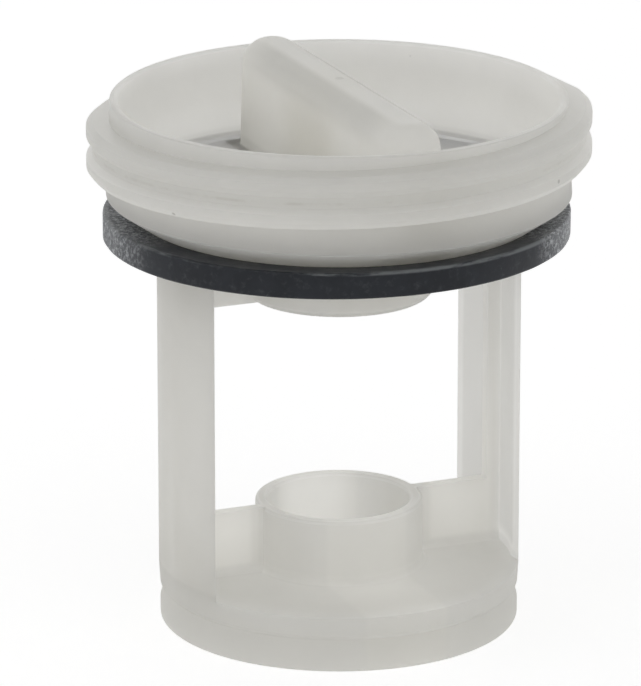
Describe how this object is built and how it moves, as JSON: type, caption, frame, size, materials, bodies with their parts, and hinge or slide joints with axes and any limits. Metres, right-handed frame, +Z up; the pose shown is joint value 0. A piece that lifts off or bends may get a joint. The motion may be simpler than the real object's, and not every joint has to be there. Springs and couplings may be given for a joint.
{
  "type": "washer pump filter",
  "caption": "Screw-in pump filter of a washing machine: a threaded cap with a finger grip bar and a rubber seal above an open cage that stops lint, with a short tube in its base ring.",
  "frame": {"origin": "centre of the base ring's underside, on the thread's axis", "axes": "+Z up along the thread's axis to the cap, X through both legs and their webs, Y along the grip bar"},
  "size_m": [0.064, 0.064, 0.0713],
  "materials": {
    "plastic": "satin, natural milky polypropylene that lets some light through",
    "rubber": "matte black, scuffed"
  },
  "bodies": {
    "root": {"filter_body": "plastic", "seal_ring": "rubber"}
  },
  "joints": []
}
